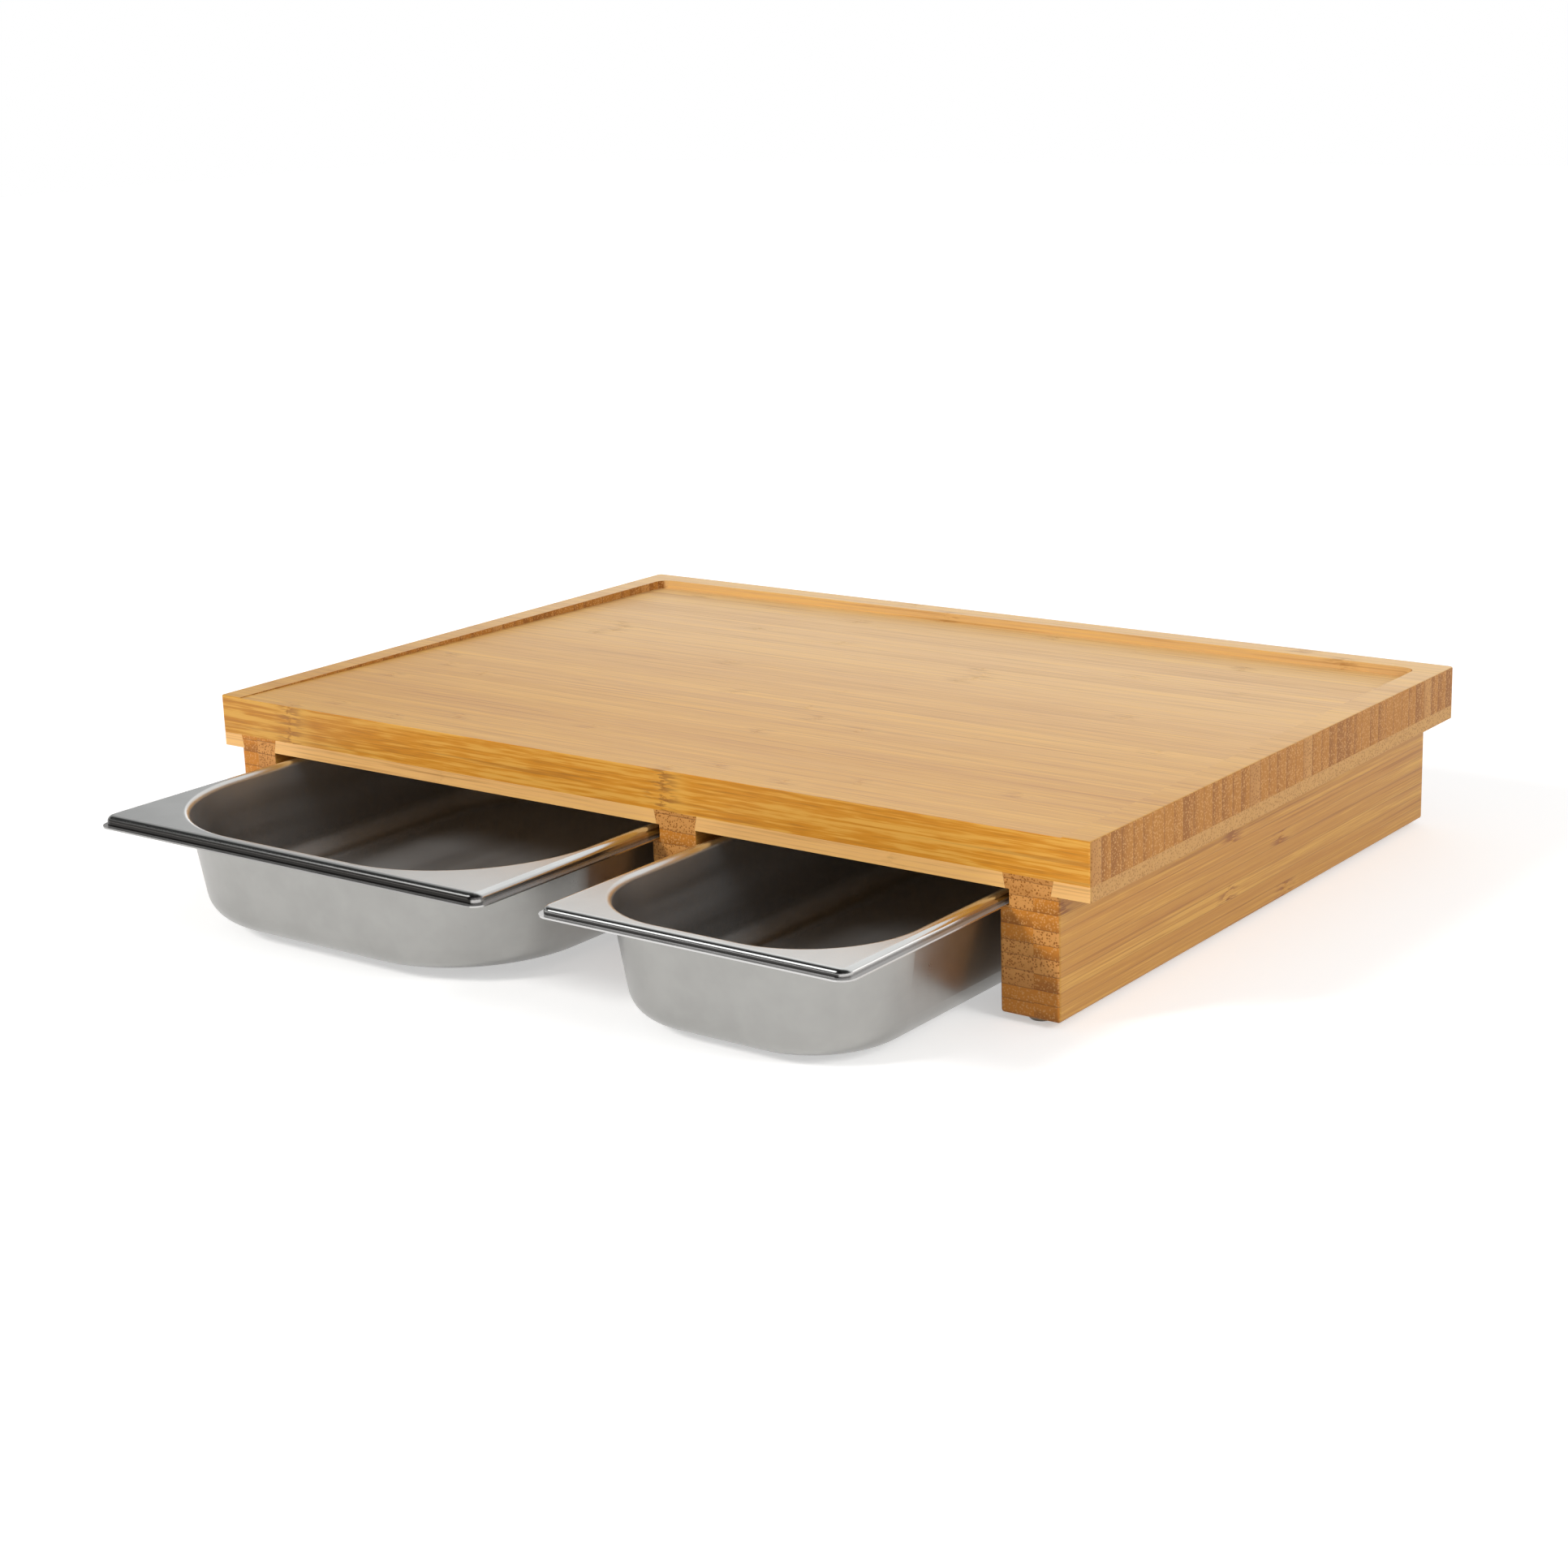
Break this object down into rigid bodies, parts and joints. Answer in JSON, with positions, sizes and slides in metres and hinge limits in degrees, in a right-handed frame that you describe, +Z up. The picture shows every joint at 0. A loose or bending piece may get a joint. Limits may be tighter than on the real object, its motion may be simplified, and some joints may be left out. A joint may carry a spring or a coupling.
{
  "type": "cutting board with drawer trays",
  "caption": "Bamboo cutting board on dovetailed rails, with a sloping milled floor open at the front and pressed steel trays that slide out below it.",
  "frame": {"origin": "under the middle of the whole object with both trays drawn out as shown, at the level of the feet", "axes": "+X to the right along the board's long side, +Y to the back, +Z up; the trays draw out towards -Y"},
  "size_m": [0.5592, 0.5172, 0.0916],
  "materials": {
    "bamboo_strip": "oiled bamboo strips on edge",
    "bamboo_ply": "oiled bamboo ply",
    "bamboo_rail": "oiled bamboo strips, two plies",
    "tray_steel": "satin stainless sheet with a bright edge",
    "foot_rubber": "pale translucent rubber",
    "magnet_plating": "nickel plating"
  },
  "bodies": {
    "board": {"board_core": "bamboo_strip", "left_edge_ply": "bamboo_ply", "left_bay_ply": "bamboo_ply", "right_bay_ply": "bamboo_ply", "right_edge_ply": "bamboo_ply", "left_rail_outer": "bamboo_rail", "left_rail_inner": "bamboo_rail", "middle_rail_left": "bamboo_rail", "middle_rail_right": "bamboo_rail", "right_rail_inner": "bamboo_rail", "right_rail_outer": "bamboo_rail", "knife_magnets": "magnet_plating", "left_front_foot": "foot_rubber", "left_back_foot": "foot_rubber", "middle_front_foot": "foot_rubber", "middle_back_foot": "foot_rubber", "right_front_foot": "foot_rubber", "right_back_foot": "foot_rubber"},
    "wide_tray": {"half_tray": "tray_steel"},
    "narrow_tray": {"third_tray": "tray_steel"}
  },
  "joints": [
    {"name": "wide_tray_slide", "type": "slide", "parent": "board", "child": "wide_tray", "axis": [0, -1, 0], "range_m": [-0.131, 0.205]},
    {"name": "narrow_tray_slide", "type": "slide", "parent": "board", "child": "narrow_tray", "axis": [0, -1, 0], "range_m": [-0.125, 0.21]}
  ]
}
